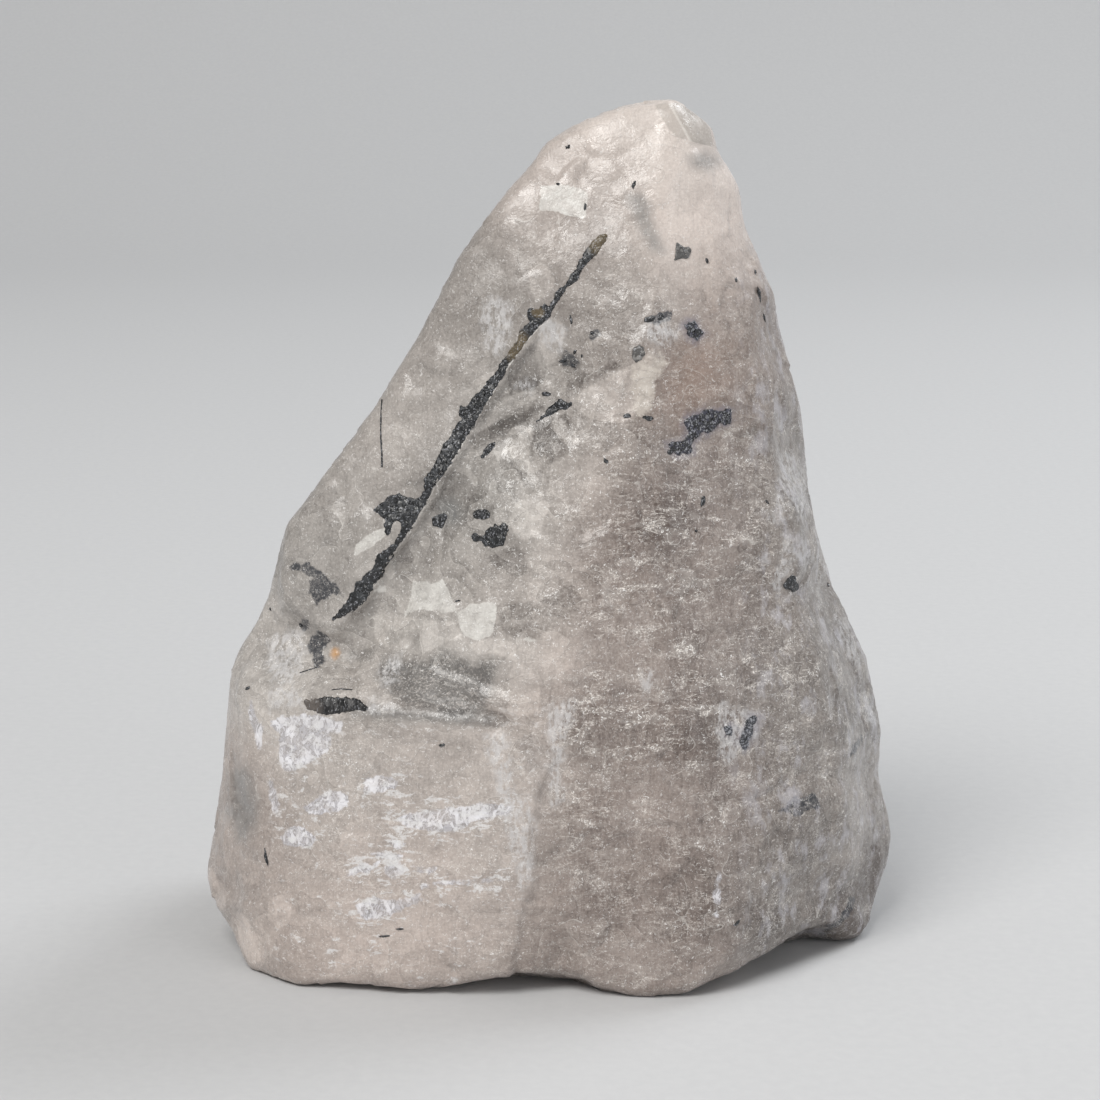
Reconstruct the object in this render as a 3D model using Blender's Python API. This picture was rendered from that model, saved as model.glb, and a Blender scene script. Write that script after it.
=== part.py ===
"""Tourmalinated quartz: a broken lump of milky quartz with black tourmaline crystals set in its surface.

Metres, +Z up. The origin is the middle of the underside, on the surface that the stone stands on. The front,
with the long needle, faces -Y, and +X is to the right as the front is seen.
"""

import math

import bmesh
import bpy
from mathutils import Matrix, Vector, noise
from mathutils.bvhtree import BVHTree

MM = 0.001

# Driving dimensions of the stone
STONE_WIDTH = 66.4 * MM
STONE_DEPTH = 46.0 * MM
STONE_HEIGHT = 80.0 * MM

# How far the feet are worn down to one plane
FOOT_CUT = 0.4 * MM

# The free space kept between a tourmaline crystal and the pocket that it fills
CLEARANCE = 0.3 * MM

# How far a crystal's middle lies under the stone's surface, as a share of its width
SUNK = 0.18

# The relief of the broken surface: swells and ripples as (length, height), flat breaks as (size, slope)
SWELL = (12 * MM, 0.4 * MM)
RIPPLE = (4.5 * MM, 0.08 * MM)
BREAKS = ((10 * MM, 0.035), (4.5 * MM, 0.025))

# How finely the stone is meshed, and how much its edges and breaks are rounded
REMESH_STEP = 0.9 * MM
EDGE_SOFTENING_PASSES = 4
BREAK_SOFTENING_PASSES = 2
QUARTZ_TRIANGLES = 5400

# How uneven a crystal's width is, as a share of it
ROD_UNEVENNESS = 0.13
LUMP_UNEVENNESS = 0.3

QUARTZ_COLOUR = (0.62, 0.57, 0.54, 1.0)
TOURMALINE_COLOUR = (0.02, 0.02, 0.024, 1.0)

# The masses that the lump is made of, each the hull of its corners, in millimetres as (x, y, z)
CORE_CORNERS = [
    (2.4, -5, 78), (11.5, -5, 79.6), (12.3, 3, 79), (5, 5, 77), (-0.4, -3.5, 76.2), (7, 8, 74),
    (14.4, -1, 76), (16, 7, 70), (17.4, -2, 70.2), (-5.2, -6, 70.6), (19.4, -1, 63.9),
    (-10.8, -7, 61.8), (8, -14.5, 57), (18, -9, 57), (23, 0, 52.8), (-16.5, -7.5, 52.6),
    (-21.1, -8, 46.1), (-25.2, -8, 41.4), (24.5, 2, 42), (22, -10, 43), (5, -18.5, 37), (-29.5, -6, 29),
    (30.6, 2, 25.9), (24, -12.5, 30), (1.5, -20.5, 28), (27, -12, 18), (32.2, 2, 18), (33.2, 2, 8.5),
    (32.4, 0, 3), (29.4, -6, -0.4), (28, -9, 3), (-33, -3, 9), (-32.4, -2, 4), (-29, -3, 0),
    (0, -23, 11), (4, -22.8, -0.2), (12.5, -22.8, -0.2), (16, -22, 4), (0, 14, 60), (13, 13, 58),
    (-15, 14, 42), (19, 16, 38), (-22, 19, 20), (22, 20, 16), (-23, 18, -0.2), (23, 17, -0.2),
    (2, 23, 10), (2, 22, 0), (-9, 22.5, 12),
]
LEFT_FOOT_CORNERS = [
    (-28.6, -11.5, 26.4), (-17, -18.6, 26), (-6, -21.6, 25.4), (-2.2, -22.4, 22.5), (-27, -6, 29),
    (-12, -12, 31), (-2, -15, 30), (-31.2, -6, 24.9), (-33.2, -5, 9), (-32.2, -8, 4.5), (-28.4, -15.6, 0),
    (-24, -20, -0.2), (-14, -22.2, 0), (-2, -22.6, 0), (1, -23, 10), (-20, 5, 24), (-22, 5, 0), (0, 0, 24),
    (0, 0, 0),
]
LEFT_SLAB_CORNERS = [
    (5.6, -9.8, 68.0), (2.4, -11.6, 62.4), (-6.0, -13.2, 51), (-12.2, -13.9, 42.4), (-18.2, -14.1, 33.4),
    (-20.6, -13.2, 30.4), (-27, -9.6, 33), (-25.4, -9.2, 41.2), (-21.2, -8.8, 46.1), (-16.4, -8.2, 52.6),
    (-10.8, -7.8, 61.8), (-5.2, -7.2, 70.4), (0, -6, 74), (-10, 0, 50), (-20, 0, 34), (0, 0, 66),
]
BULGE_CORNERS = [
    (-5.4, -13.6, 48.5), (1.5, -15.2, 50), (6, -16.6, 46), (5, -18.9, 37), (2, -20.8, 29), (-3, -20, 28.5),
    (-9, -17.2, 31), (-13, -15, 33), (-10, -14, 41), (0, -5, 45), (0, -5, 30), (-8, -5, 36),
]
TOP_CHIP_CORNERS = [
    (10.5, -3.4, 79.4), (12.8, -3.6, 79), (15, -2.4, 77), (15.2, -2, 75), (13.4, -4.6, 74.8), (11, -5, 77),
    (11, 1, 79), (15, 1, 75.6), (9, 0, 74),
]

# Shallow bites broken out of the masses: centre and half sizes in millimetres, then the turn about Y
SCOOPS = [
    ((1.8, -21.4, 56.5), (11, 8.2, 6.5), 36),
    ((-0.4, -17.2, 54), (15, 4.6, 1.3), -54),
    ((30.6, -4, 42), (5.9, 24, 11), 10),
    ((-32.8, -12, 34.5), (5.0, 16, 5.2), -25),
    ((-14, -24.2, 29.4), (13, 7.2, 2.4), 2),
    ((36, -2, 16.5), (4.4, 12, 5), 6),
    ((-12, -24, -1.2), (7.5, 9, 2.2), 0),
    ((-2.5, -24, -1.8), (10.5, 8, 3.7), 0),
    ((22, -16, -2.2), (9, 10, 5.0), -18),
    ((8, 24, 40), (15, 9, 14), 20),
    ((-18, 24, 30), (10, 8, 12), -20),
    ((-16, 27, 11), (15, 8, 9), 12),
    ((27, 18, 32), (8, 8, 13), -15),
    ((1, 4, -2.4), (24, 14, 4.6), 0),
]

FRONT = Vector((0, -1, 0))
BACK = Vector((0, 1, 0))
RIGHT = Vector((1, 0, 0))

# The tourmaline crystals. Each is seen from one side of the stone, with its points as (across, height, width)
# in millimetres: across runs to the right as that side is seen. A rod is a run of such points, with its
# number of sides and its flatness; a lump is a knot of that width at such a point. Rods and lumps are fused.
CRYSTALS = {
    "long_needle": {
        "seen_from": FRONT,
        "rods": [
            (
                [
                    (4.4, 68.3, 0.8), (2.4, 66.1, 0.8), (0.5, 63.4, 0.9), (-1.5, 61.3, 1.1),
                    (-2.6, 59.8, 1.3), (-5, 56.7, 1.1), (-7.3, 53, 1.4), (-9.9, 49, 1.8),
                    (-11.5, 45.9, 1.6), (-13, 43.4, 1.4), (-14.6, 40.9, 1.1), (-16, 39.2, 1.3),
                    (-17.8, 36.5, 1.7), (-19.2, 34.8, 1.3), (-20.6, 33.5, 0.7),
                ],
                8,
                0.85,
            ),
        ],
        "lumps": [
            (-1.8, 61.6, 1.7), (-8.7, 52.3, 1.3), (-16.2, 44.2, 1.4), (-15.3, 44, 2.0), (-14.2, 43.8, 2.3),
            (-13.3, 44.2, 1.9), (-14.6, 42.7, 1.5),
        ],
    },
    "ledge_prism": {
        "seen_from": FRONT,
        "rods": [([(-23.4, 25.8, 1.0), (-22.2, 25.9, 1.5), (-18.4, 26.1, 1.4), (-17.1, 26.1, 0.7)], 6, 1.0)],
        "lumps": [],
    },
    "right_slab": {
        "seen_from": FRONT,
        "rods": [
            ([(11.9, 51.4, 1.4), (13.1, 51.5, 2.0), (14.5, 52, 2.0), (15.9, 52.5, 1.2)], 8, 0.6),
            ([(13.0, 50.9, 1.0), (12, 49.9, 1.2), (10.8, 49.2, 1.0)], 6, 0.7),
        ],
        "lumps": [],
    },
    "upper_grain": {
        "seen_from": FRONT,
        "rods": [([(-7.5, 43.5, 0.7), (-6.8, 43.5, 1.0), (-6.1, 43.5, 0.7)], 6, 0.9)],
        "lumps": [],
    },
    "lower_grain": {
        "seen_from": FRONT,
        "rods": [],
        "lumps": [(-7.2, 41.5, 1.1), (-6.2, 41.4, 1.8), (-5.2, 41.7, 1.5), (-5.9, 40.8, 1.6)],
    },
    "hollow_sliver": {
        "seen_from": FRONT,
        "rods": [([(-1.9, 51.7, 0.7), (-0.6, 52.5, 1.0), (0.5, 53.2, 1.1), (1.3, 53.7, 0.7)], 6, 0.8)],
        "lumps": [(0.2, 53.1, 1.3)],
    },
    "star_grain": {
        "seen_from": FRONT,
        "rods": [],
        "lumps": [(12.6, 59.8, 1.7), (13.3, 59.1, 1.1), (12.0, 60.4, 1.0)],
    },
    "small_block": {
        "seen_from": FRONT,
        "rods": [([(7.5, 58.8, 0.9), (7.4, 58.1, 1.1), (7.2, 57.3, 1.0)], 6, 0.9)],
        "lumps": [],
    },
    "square_grain": {
        "seen_from": FRONT,
        "rods": [([(10.9, 67.1, 1.2), (11.5, 66.7, 1.5), (12.0, 66.2, 1.4)], 4, 0.8)],
        "lumps": [],
    },
    "side_grain": {
        "seen_from": FRONT,
        "rods": [],
        "lumps": [(21.7, 37, 1.3), (21.5, 36.2, 1.3)],
    },
    "low_right_cluster": {
        "seen_from": FRONT,
        "rods": [],
        "lumps": [(16.1, 23.9, 1.6), (16.9, 23.3, 1.6), (17.5, 24.2, 1.5)],
    },
    "right_side_prism": {
        "seen_from": RIGHT,
        "rods": [([(9.0, 26.5, 0.9), (9.8, 29.4, 1.4), (10.8, 33.4, 1.3), (11.4, 36.0, 0.7)], 6, 0.9)],
        "lumps": [],
    },
    "back_needle": {
        "seen_from": BACK,
        "rods": [
            (
                [
                    (-12.0, 22, 0.8), (-9.4, 27, 1.3), (-6.8, 31.5, 1.1), (-4.2, 36.5, 1.5), (-1.5, 42, 1.3),
                    (0.8, 46.5, 0.8),
                ],
                8,
                0.85,
            ),
        ],
        "lumps": [(-7.4, 30.6, 1.9), (-3.6, 37.6, 1.7)],
    },
    "back_cluster": {
        "seen_from": BACK,
        "rods": [([(6.2, 23.5, 1.2), (8.4, 24.8, 1.7), (10.6, 25.3, 1.0)], 8, 0.7)],
        "lumps": [(7.2, 25.4, 1.9), (9.2, 23.8, 1.6)],
    },
}


def clear_scene():
    for obj in list(bpy.data.objects):
        bpy.data.objects.remove(obj, do_unlink=True)


def plain_material(name, colour, roughness):
    material = bpy.data.materials.new(name)
    material.use_nodes = True
    shader = material.node_tree.nodes["Principled BSDF"]
    shader.inputs["Base Color"].default_value = colour
    shader.inputs["Roughness"].default_value = roughness
    shader.inputs["Metallic"].default_value = 0.0
    return material


def object_from(name, bm):
    mesh = bpy.data.meshes.new(name)
    bm.to_mesh(mesh)
    bm.free()
    obj = bpy.data.objects.new(name, mesh)
    bpy.context.scene.collection.objects.link(obj)
    return obj


def hull(name, corners):
    """One mass of the stone: the convex hull of its corners."""
    bm = bmesh.new()
    for corner in corners:
        bm.verts.new(Vector(corner) * MM)
    made = bmesh.ops.convex_hull(bm, input=bm.verts)
    spare = [v for v in made["geom_interior"] if isinstance(v, bmesh.types.BMVert)]
    bmesh.ops.delete(bm, geom=spare, context="VERTS")
    bmesh.ops.recalc_face_normals(bm, faces=bm.faces)
    return object_from(name, bm)


def scoop(name, centre, half_sizes, turn):
    """A rounded bite, as a conchoidal break leaves it."""
    bm = bmesh.new()
    place = Matrix.Translation(Vector(centre) * MM) @ Matrix.Rotation(math.radians(turn), 4, "Y")
    size = Matrix.Diagonal((*(s * MM for s in half_sizes), 1.0))
    bmesh.ops.create_icosphere(bm, subdivisions=4, radius=1.0, matrix=place @ size)
    return object_from(name, bm)


def apply_modifiers(obj):
    """The object's mesh as its modifiers leave it."""
    graph = bpy.context.evaluated_depsgraph_get()
    finished = bpy.data.meshes.new_from_object(obj.evaluated_get(graph))
    obj.modifiers.clear()
    obj.data = finished


def combine(obj, others, operation):
    """Joins the other shapes to the object, or cuts them out of it, all in one Boolean."""
    group = bpy.data.collections.new(operation.title())
    for other in others:
        group.objects.link(other)
    modifier = obj.modifiers.new(operation.title(), "BOOLEAN")
    modifier.operation = operation
    modifier.solver = "EXACT"
    modifier.operand_type = "COLLECTION"
    modifier.collection = group
    apply_modifiers(obj)
    for other in list(group.objects):
        bpy.data.objects.remove(other, do_unlink=True)
    bpy.data.collections.remove(group)


def wave(point, length, height):
    """The height of a smooth random swell."""
    return noise.noise(point / length) * height


def flat_break(point, size, slope):
    """The height of small flat breaks: each cell of a random pattern is a facet with its own tilt."""
    at = point / size
    centre = noise.voronoi(at)[1][0]
    tilt = noise.cell_vector(centre / size) * 2 - Vector((1, 1, 1))
    return (at - centre).dot(tilt) * size * slope


def roughen(obj):
    """Breaks up the surface along its own normals."""
    normals = [vertex.normal.copy() for vertex in obj.data.vertices]
    for vertex, normal in zip(obj.data.vertices, normals):
        at = vertex.co.copy()
        height = wave(at, *SWELL) + wave(at, *RIPPLE)
        height += sum(flat_break(at, *kind) for kind in BREAKS)
        vertex.co = at + normal * height


def fit_to_size(obj):
    """Brings the lump to its driving size, centred, with its feet worn flat on the surface it stands on."""
    points = [vertex.co for vertex in obj.data.vertices]
    low = Vector([min(point[axis] for point in points) for axis in range(3)])
    high = Vector([max(point[axis] for point in points) for axis in range(3)])
    low.z += FOOT_CUT
    size = high - low
    scale = Matrix.Diagonal((STONE_WIDTH / size.x, STONE_DEPTH / size.y, STONE_HEIGHT / size.z, 1.0))
    base = Vector(((low.x + high.x) / 2, (low.y + high.y) / 2, low.z))
    obj.data.transform(scale @ Matrix.Translation(-base))
    bm = bmesh.new()
    bm.from_mesh(obj.data)
    everything = bm.verts[:] + bm.edges[:] + bm.faces[:]
    cut = bmesh.ops.bisect_plane(
        bm, geom=everything, plane_co=(0, 0, 0), plane_no=(0, 0, -1), clear_outer=True, dist=1e-7
    )
    rims = [e for e in cut["geom_cut"] if isinstance(e, bmesh.types.BMEdge)]
    bmesh.ops.triangle_fill(bm, edges=rims, use_beauty=True, use_dissolve=False)
    bmesh.ops.recalc_face_normals(bm, faces=bm.faces)
    bm.to_mesh(obj.data)
    bm.free()


def triangle_count(mesh):
    return sum(len(polygon.vertices) - 2 for polygon in mesh.polygons)


def build_quartz():
    """The whole stone, before the crystals' pockets are cut."""
    stone = hull("quartz_stone", CORE_CORNERS)
    masses = (LEFT_FOOT_CORNERS, LEFT_SLAB_CORNERS, BULGE_CORNERS, TOP_CHIP_CORNERS)
    combine(stone, [hull("mass", corners) for corners in masses], "UNION")
    combine(stone, [scoop("bite", *bite) for bite in SCOOPS], "DIFFERENCE")
    remesh = stone.modifiers.new("Remesh", "REMESH")
    remesh.mode = "VOXEL"
    remesh.voxel_size = REMESH_STEP
    soften = stone.modifiers.new("Soften", "SMOOTH")
    soften.factor = 0.5
    soften.iterations = EDGE_SOFTENING_PASSES
    apply_modifiers(stone)
    roughen(stone)
    settle = stone.modifiers.new("Settle", "SMOOTH")
    settle.factor = 0.5
    settle.iterations = BREAK_SOFTENING_PASSES
    thin = stone.modifiers.new("Thin", "DECIMATE")
    thin.ratio = QUARTZ_TRIANGLES / triangle_count(stone.data)
    apply_modifiers(stone)
    fit_to_size(stone)
    return stone


def surface_of(obj):
    """The object's faces, ready to be met by rays."""
    points = [vertex.co.copy() for vertex in obj.data.vertices]
    return BVHTree.FromPolygons(points, [tuple(polygon.vertices) for polygon in obj.data.polygons])


def seat(surface, seen_from, across, height, width):
    """Where a crystal's middle lies, a little under the stone's surface, with the surface's normal there."""
    to_the_right = Vector((0, 0, 1)).cross(seen_from)
    start = to_the_right * across * MM + Vector((0, 0, height * MM)) + seen_from * STONE_WIDTH
    point, normal, _, _ = surface.ray_cast(start, -seen_from)
    return point - seen_from * width * SUNK * MM, normal


def rod(name, seats, widths, sides, flatness, grow):
    """A crystal's shaft: rings of a slightly uneven section along the seats, closed at both ends."""
    bm = bmesh.new()
    rings = []
    outward = sum((normal for _, normal in seats), Vector()).normalized()
    for index, ((centre, _), width) in enumerate(zip(seats, widths)):
        before = seats[max(index - 1, 0)][0]
        after = seats[min(index + 1, len(seats) - 1)][0]
        along = (after - before).normalized()
        aside = along.cross(outward).normalized()
        up = aside.cross(along)
        if index == 0:
            centre = centre - along * grow
        if index == len(seats) - 1:
            centre = centre + along * grow
        ring = []
        for corner in range(sides):
            angle = math.tau * (corner + 0.5) / sides
            uneven = 1 + ROD_UNEVENNESS * noise.noise(Vector((index, corner, width)) * math.pi)
            radius = width / 2 * MM * uneven
            across = aside * math.cos(angle) * (radius + grow)
            outwards = up * math.sin(angle) * (radius * flatness + grow)
            ring.append(bm.verts.new(centre + across + outwards))
        rings.append(ring)
    for ring, following in zip(rings, rings[1:]):
        for corner in range(sides):
            after = (corner + 1) % sides
            bm.faces.new((ring[corner], ring[after], following[after], following[corner]))
    bm.faces.new(rings[0])
    bm.faces.new(rings[-1])
    bmesh.ops.recalc_face_normals(bm, faces=bm.faces)
    return object_from(name, bm)


def lump(name, centre, width, grow):
    """A knot of grains grown together."""
    bm = bmesh.new()
    bmesh.ops.create_icosphere(bm, subdivisions=1, radius=1.0)
    for vertex in bm.verts:
        direction = vertex.co.normalized()
        uneven = 1 + LUMP_UNEVENNESS * noise.noise(direction + centre / MM)
        vertex.co = centre + direction * (width / 2 * MM * uneven + grow)
    return object_from(name, bm)


def crystal_shapes(name, surface, spec, grow=0.0):
    """A crystal's rods and lumps, or, with grow, the shapes of the pocket that it sits in."""
    seen_from = spec["seen_from"]
    for points, sides, flatness in spec["rods"]:
        seats = [seat(surface, seen_from, *point) for point in points]
        widths = [width for _, _, width in points]
        yield rod(name, seats, widths, sides, flatness, grow)
    for across, height, width in spec["lumps"]:
        centre, _ = seat(surface, seen_from, across, height, width)
        yield lump(name, centre, width, grow)


def build_crystal(name, surface, spec):
    """One tourmaline crystal, its rods and lumps fused."""
    whole, *others = crystal_shapes(name, surface, spec)
    if others:
        combine(whole, others, "UNION")
    whole.name = name
    return whole


clear_scene()
quartz = build_quartz()
bare_surface = surface_of(quartz)
quartz.data.materials.append(plain_material("quartz", QUARTZ_COLOUR, 0.45))
tourmaline = plain_material("tourmaline", TOURMALINE_COLOUR, 0.35)
pockets = []
for crystal_name, crystal_spec in CRYSTALS.items():
    pockets.extend(crystal_shapes("pocket", bare_surface, crystal_spec, CLEARANCE))
    build_crystal(crystal_name, bare_surface, crystal_spec).data.materials.append(tourmaline)
combine(quartz, pockets, "DIFFERENCE")
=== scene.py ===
import math

import bmesh
import bpy
import numpy as np
from mathutils import Matrix, Vector, noise
from mathutils.bvhtree import BVHTree


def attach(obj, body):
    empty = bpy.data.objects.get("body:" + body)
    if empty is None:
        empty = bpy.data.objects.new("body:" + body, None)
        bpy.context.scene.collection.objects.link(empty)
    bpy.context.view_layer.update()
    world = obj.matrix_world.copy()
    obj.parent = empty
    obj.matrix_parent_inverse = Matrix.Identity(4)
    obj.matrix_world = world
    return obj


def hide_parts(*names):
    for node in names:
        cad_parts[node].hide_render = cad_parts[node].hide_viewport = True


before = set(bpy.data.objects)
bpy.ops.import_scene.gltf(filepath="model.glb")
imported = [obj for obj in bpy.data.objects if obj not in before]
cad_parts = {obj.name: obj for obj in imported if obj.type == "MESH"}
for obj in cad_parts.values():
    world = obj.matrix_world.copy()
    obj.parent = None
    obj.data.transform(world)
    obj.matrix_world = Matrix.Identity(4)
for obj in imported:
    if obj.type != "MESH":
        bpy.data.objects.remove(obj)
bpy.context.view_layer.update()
noise.seed_set(7)

# ---- The stone
# One broken lump of massive quartz, milky and faintly rosy, with clearer grey places in it. It is as the
# hammer left it: a smooth slab at the left of the needle, a greyish hollow right of it, a ledge with a bright
# block under it at lower left, and a darker right face full of fine white healed cracks.

MM = 0.001
STONE_STEP = 0.43 * MM
POCKET_REACH = 0.45 * MM
FACET_SOFTENING = 14


def alone(obj):
    """Leaves only this object selected, and makes it the active one."""
    for other in list(bpy.context.selected_objects):
        other.select_set(False)
    obj.select_set(True)
    bpy.context.view_layer.objects.active = obj


def new_object(name, mesh):
    obj = bpy.data.objects.new(name, mesh)
    bpy.context.scene.collection.objects.link(obj)
    return obj


def copy_of(node, name):
    """A piece that starts as a copy of a node's mesh, its loose triangles joined."""
    obj = new_object(name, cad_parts[node].data.copy())
    obj.data.name = name
    obj.data.materials.clear()
    alone(obj)
    bpy.ops.mesh.customdata_custom_splitnormals_clear()
    bpy.ops.object.mode_set(mode="EDIT")
    bpy.ops.mesh.select_all(action="SELECT")
    bpy.ops.mesh.remove_doubles(threshold=0.001 * MM)
    bpy.ops.object.mode_set(mode="OBJECT")
    return obj


def joined(objects):
    """Makes one object of several."""
    alone(objects[0])
    for other in objects[1:]:
        other.select_set(True)
    if len(objects) > 1:
        bpy.ops.object.join()
    return objects[0]


def finish_modifiers(obj):
    alone(obj)
    for modifier in list(obj.modifiers):
        bpy.ops.object.modifier_apply(modifier=modifier.name)


def remesh(obj, step, smoothing):
    """Gives the piece an even fine mesh, its hard facets rounded."""
    modifier = obj.modifiers.new("Remesh", "REMESH")
    modifier.mode = "VOXEL"
    modifier.voxel_size = step
    modifier.use_smooth_shade = True
    soften = obj.modifiers.new("Soften", "SMOOTH")
    soften.factor = 0.5
    soften.iterations = smoothing
    finish_modifiers(obj)


def surface_of(*objects):
    """The faces of these objects, ready to be met by rays."""
    corners, faces = [], []
    for obj in objects:
        first = len(corners)
        corners.extend(vertex.co.copy() for vertex in obj.data.vertices)
        faces.extend([first + index for index in polygon.vertices] for polygon in obj.data.polygons)
    return BVHTree.FromPolygons(corners, faces)


def biggest_part(bm):
    """The largest set of faces that hang together."""
    left, biggest = set(bm.faces), set()
    while left:
        start = left.pop()
        part, edge_of_part = {start}, [start]
        while edge_of_part:
            for edge in edge_of_part.pop().edges:
                fresh = [face for face in edge.link_faces if face in left]
                left.difference_update(fresh)
                part.update(fresh)
                edge_of_part.extend(fresh)
        if len(part) > len(biggest):
            biggest = part
    return biggest


def close_pockets(obj, crystals):
    """Takes out the walls of the crystals' pockets and closes the stone over them."""
    bm = bmesh.new()
    bm.from_mesh(obj.data)
    walls = [f for f in bm.faces if crystals.find_nearest(f.calc_center_median())[3] < POCKET_REACH]
    bmesh.ops.delete(bm, geom=walls, context="FACES")
    for _ in range(4):
        kept = biggest_part(bm)
        loose = [f for f in bm.faces if f not in kept or sum(e.is_boundary for e in f.edges) > 1]
        bmesh.ops.delete(bm, geom=loose, context="FACES")
        pinched = [v for v in bm.verts if v.link_faces and not v.is_manifold]
        bmesh.ops.delete(bm, geom=pinched, context="VERTS")
    bmesh.ops.holes_fill(bm, edges=[e for e in bm.edges if e.is_boundary], sides=0)
    bmesh.ops.triangulate(bm, faces=[f for f in bm.faces if len(f.verts) > 3], ngon_method="BEAUTY")
    bmesh.ops.recalc_face_normals(bm, faces=bm.faces)
    bm.to_mesh(obj.data)
    bm.free()


# The view of the photograph, in millimetres and in its pixels. Places on the front are read off in those
# pixels, counted from the picture's top left corner, and laid on the stone along the camera's lines of sight.
PICTURE = 1100
LENS, SENSOR = 100, 36
FOCAL = PICTURE * LENS / SENSOR
DOWN = math.radians(12)
AHEAD = np.array((0, math.cos(DOWN), -math.sin(DOWN)))
UPWARD = np.array((0, math.sin(DOWN), math.cos(DOWN)))
DISTANCE = 285.5
EYE = np.array((-0.6, -7.0, 38.5)) - DISTANCE * AHEAD
PIXEL = (DISTANCE - 12) / FOCAL

LEFT_EDGE = [
    (628, 104), (589, 116), (546, 140), (530, 164), (508, 188), (471, 236), (456, 260), (419, 332),
    (375, 404), (286, 524), (268, 596), (257, 620), (241, 644), (231, 668), (222, 776), (207, 872),
    (210, 892), (216, 908), (232, 932), (243, 956), (253, 968),
]
RIGHT_EDGE = [
    (682, 104), (703, 116), (712, 128), (719, 152), (738, 182), (745, 224), (775, 296), (778, 320),
    (797, 392), (802, 416), (808, 485), (818, 536), (833, 584), (866, 656), (881, 728), (878, 776),
    (888, 812), (891, 836), (888, 860), (872, 908),
]
LOWER_EDGE = [
    (250, 968), (260, 973), (300, 986), (340, 982), (420, 991), (500, 977), (580, 982), (600, 991),
    (640, 998), (680, 995), (720, 976), (740, 970), (760, 960), (780, 945), (800, 940), (820, 930),
    (860, 926),
]
NEEDLE_LINE = [
    (605, 236), (583, 261), (575, 275), (553, 305), (529, 330), (502, 366), (462, 426), (447, 451),
    (431, 484), (398, 538), (383, 553), (352, 601), (331, 620),
]
NEEDLE_OUTLINE = [
    (598, 237), (603, 233), (608, 236), (597, 253), (586, 263), (576, 280), (565, 289), (548, 317),
    (528, 338), (507, 367), (445, 472), (435, 485), (419, 515), (389, 560), (381, 576), (360, 605),
    (349, 613), (331, 621), (352, 595), (357, 584), (373, 571), (377, 556), (396, 541), (400, 535),
    (402, 524), (398, 519), (392, 524), (390, 533), (386, 536), (385, 527), (387, 520), (374, 510),
    (393, 495), (399, 494), (404, 497), (414, 499), (420, 497), (426, 491), (425, 480), (437, 461),
    (440, 452), (462, 419), (459, 412), (461, 406), (467, 408), (488, 381), (499, 370), (504, 359),
    (517, 343), (521, 331), (530, 321), (528, 311), (533, 308), (538, 311), (541, 306), (545, 304),
    (548, 308), (553, 302), (556, 294), (570, 279), (580, 261),
]
RIDGE_LINE = [
    (704, 143), (690, 230), (645, 300), (640, 370), (655, 430), (669, 466), (608, 495), (590, 515),
    (575, 543), (580, 600), (589, 648), (572, 700), (570, 740), (548, 770), (537, 795), (531, 829),
    (534, 882), (520, 921), (508, 985),
]
PALE_FACETS = [
    [(539, 186), (565, 184), (578, 187), (588, 192), (588, 205), (585, 219), (575, 218), (548, 210),
     (540, 212)],
    [(412, 579), (417, 582), (424, 580), (431, 583), (437, 582), (443, 578), (456, 607), (456, 615),
     (450, 613), (443, 614), (438, 610), (431, 611), (420, 609), (404, 617), (411, 597)],
    [(457, 613), (470, 604), (487, 601), (493, 603), (497, 607), (494, 631), (490, 636), (478, 640),
     (472, 640), (465, 635), (461, 628), (458, 622)],
    [(521, 640), (528, 636), (536, 638), (546, 645)],
    [(372, 592), (384, 584), (388, 588), (386, 593)],
    [(353, 557), (356, 545), (365, 536), (390, 525), (388, 534), (366, 551)],
]
LIGHT_PLANES = [
    [(506, 434), (512, 428), (520, 425), (534, 427), (535, 433), (530, 446), (530, 462), (533, 470),
     (527, 474), (522, 472), (504, 445)],
    [(513, 507), (520, 500), (545, 500), (551, 505), (537, 537), (519, 541), (508, 523)],
    [(566, 398), (636, 362), (656, 345), (650, 382), (634, 418), (618, 424), (598, 421), (580, 414)],
    [(466, 440), (495, 402), (524, 390), (536, 390), (540, 396)],
    [(541, 322), (552, 317), (562, 320), (566, 335), (556, 362), (548, 370), (538, 345)],
    [(491, 637), (517, 643), (517, 661), (488, 653), (480, 655), (466, 645)],
    [(508, 672), (518, 662), (532, 668), (540, 685), (542, 712), (520, 716), (507, 712)],
    [(268, 900), (282, 893), (292, 905), (290, 922), (278, 930), (268, 920)],
    [(236, 912), (246, 912), (262, 962), (250, 964), (240, 945)],
    [(205, 866), (213, 868), (228, 906), (220, 912), (208, 895)],
    [(383, 600), (398, 616), (455, 622), (464, 640), (450, 640), (420, 656), (388, 650), (376, 640),
     (372, 618)],
    [(548, 420), (560, 418), (575, 430), (578, 445), (566, 446)],
    [(528, 268), (545, 262), (556, 280), (550, 296), (536, 300), (528, 286)],
]
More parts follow.
